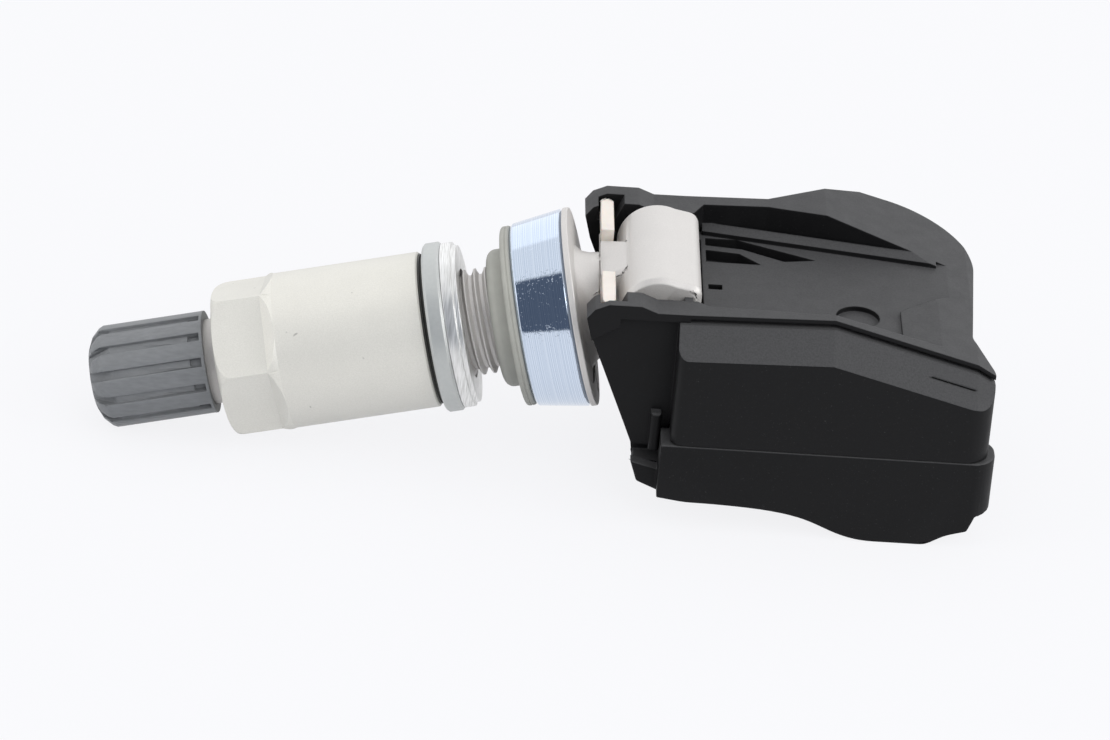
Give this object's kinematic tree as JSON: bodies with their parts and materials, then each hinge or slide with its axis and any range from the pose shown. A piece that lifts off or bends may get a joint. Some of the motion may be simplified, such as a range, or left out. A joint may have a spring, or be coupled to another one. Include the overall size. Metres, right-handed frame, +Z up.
{
  "type": "tyre pressure sensor",
  "caption": "Clamp-in tyre pressure sensor: threaded metal valve with nut, washers, seal and cap, on a swivelling barrel in a black sensor housing.",
  "frame": {"origin": "centre of the small flat land under the housing's belly, on which the part lies", "axes": "+X along the housing away from the valve, +Y across it, +Z up away from the land; the valve leaves towards -X and its outer end hangs 13.8 degrees down"},
  "size_m": [0.0848, 0.03, 0.0246],
  "materials": {
    "cap_plastic": "moulded, satin",
    "gasket_rubber": "moulded",
    "stem_aluminium": "fine blasted and anodised",
    "nut_aluminium": "turned and milled, anodised",
    "dark_polymer": "satin",
    "grey_flange": "satin grey",
    "polished_washer": "polished",
    "seal_rubber": "moulded, matt grey",
    "polished_ring": "polished",
    "core_brass": "turned",
    "core_polymer": "satin",
    "spring_steel": "drawn wire",
    "white_plastic": "moulded, satin",
    "housing_nylon": "moulded, finely textured",
    "board_laminate": "solder resist",
    "cell_steel": "drawn",
    "tab_nickel": "rolled strip",
    "chip_epoxy": "moulded",
    "port_silicone": "moulded",
    "ferrite": "sintered",
    "coil_copper": "enamelled winding",
    "can_metal": "plated",
    "chip_ceramic": "sintered"
  },
  "bodies": {
    "housing": {"upper_housing": "housing_nylon", "lower_lid": "housing_nylon", "circuit_board": "board_laminate", "coin_cell": "cell_steel", "cell_tab_low": "tab_nickel", "cell_tab_top": "tab_nickel", "pressure_sensor": "chip_epoxy", "port_seal": "port_silicone", "antenna_core": "ferrite", "antenna_coil": "coil_copper", "crystal": "can_metal", "chip_capacitors": "chip_ceramic"},
    "stem": {"valve_stem": "stem_aluminium", "lock_bar": "white_plastic", "support_ring": "polished_ring", "rubber_seal": "seal_rubber", "core_barrel": "core_brass", "core_gasket": "core_polymer", "core_spring": "spring_steel"},
    "washers": {"clamp_washer": "polished_washer", "flange_ring": "grey_flange", "friction_ring": "dark_polymer"},
    "nut": {"collar_nut": "nut_aluminium"},
    "cap_seal": {"cap_gasket": "gasket_rubber"},
    "cap": {"valve_cap": "cap_plastic"},
    "core_pin": {"core_pin": "core_brass", "core_seal": "gasket_rubber"}
  },
  "joints": [
    {"name": "stem_swivel", "type": "hinge", "parent": "housing", "child": "stem", "pos_m": [-0.0234, 0, 0.0191], "axis": [0, 1, 0], "range_deg": [0, 20]},
    {"name": "nut_advance", "type": "slide", "parent": "stem", "child": "washers", "axis": [0.9711, 0, 0.2385], "range_m": [-0.001, 0.0025]},
    {"name": "nut_turn", "type": "hinge", "parent": "washers", "child": "nut", "pos_m": [-0.02292, 0, 0.01716], "axis": [0.9711, 0, 0.2385], "range_deg": [-362, 902]},
    {"name": "cap_advance", "type": "slide", "parent": "stem", "child": "cap_seal", "axis": [0.9711, 0, 0.2385], "range_m": [-0.0055, 0]},
    {"name": "cap_turn", "type": "hinge", "parent": "cap_seal", "child": "cap", "pos_m": [-0.02292, 0, 0.01716], "axis": [0.9711, 0, 0.2385], "range_deg": [-2500, 0]},
    {"name": "pin_travel", "type": "slide", "parent": "stem", "child": "core_pin", "axis": [0.9711, 0, 0.2385], "range_m": [0, 0.001], "stiffness_N_per_m": 800, "springref_m": -0.001, "deforming": ["core_spring"]}
  ],
  "couplings": [
    {"joint": "nut_turn", "follows": "nut_advance", "rad_per_m": 6283.2},
    {"joint": "cap_turn", "follows": "cap_advance", "rad_per_m": 7913.3}
  ]
}
